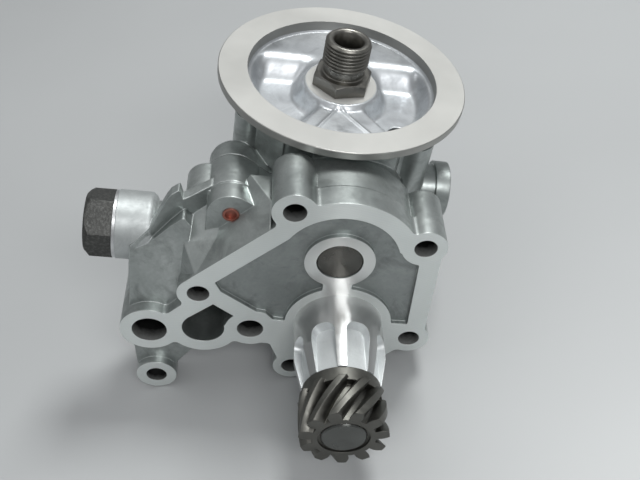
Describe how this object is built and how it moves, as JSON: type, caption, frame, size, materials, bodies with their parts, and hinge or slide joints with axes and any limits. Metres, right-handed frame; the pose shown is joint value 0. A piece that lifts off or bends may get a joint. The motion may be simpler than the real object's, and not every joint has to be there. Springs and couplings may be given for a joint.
{
  "type": "engine oil pump",
  "caption": "Gear oil pump in cast aluminium: machined flange, fluted snout with a skew drive gear, relief valve, and a filter head with a hollow threaded stud.",
  "frame": {"origin": "centre of the snout pilot, in the plane of the gasket face", "axes": "-Y out along the drive shaft to the skew gear; +Z along the filter stud, away from the head; +X to the right when the gasket face is seen from the gear"},
  "size_m": [0.1503, 0.1793, 0.1472],
  "materials": {
    "cast_aluminium": "die cast, faces machined",
    "gasket": "coated sheet",
    "plated_steel": "zinc plated",
    "ground_steel": "ground",
    "dark_steel": "oiled dark steel",
    "bronze": "bored",
    "soft_aluminium": "plain washer",
    "copper": "coated plug"
  },
  "bodies": {
    "housing": {"pump_body": "cast_aluminium", "filter_head": "cast_aluminium", "head_gasket": "gasket", "head_bolts": "plated_steel", "head_dowels": "ground_steel", "idler_shaft": "ground_steel", "snout_bush": "bronze", "rear_shaft_bush": "bronze", "relief_valve_cap": "dark_steel", "relief_cap_washer": "soft_aluminium", "relief_shim": "ground_steel", "relief_spring": "ground_steel", "gallery_plug": "copper", "filter_stud": "dark_steel"},
    "drive": {"drive_shaft": "ground_steel", "skew_drive_gear": "dark_steel", "skew_gear_key": "ground_steel", "pump_drive_gear": "ground_steel", "pump_gear_key": "ground_steel"},
    "driven": {"pump_driven_gear": "ground_steel", "driven_gear_bush": "bronze"},
    "piston": {"relief_piston": "ground_steel"}
  },
  "joints": [
    {"name": "drive_spin", "type": "hinge", "parent": "housing", "child": "drive", "pos_m": [0, 0, 0], "axis": [0, -1, 0], "continuous": true},
    {"name": "driven_spin", "type": "hinge", "parent": "housing", "child": "driven", "pos_m": [-0.00489, 0.02545, 0.03718], "axis": [0, -1, 0], "continuous": true},
    {"name": "relief_lift", "type": "slide", "parent": "housing", "child": "piston", "axis": [-1, 0, 0], "range_m": [0, 0.007], "stiffness_N_per_m": 200, "deforming": ["relief_spring"]}
  ],
  "couplings": [
    {"joint": "driven_spin", "follows": "drive_spin", "ratio": -1}
  ]
}
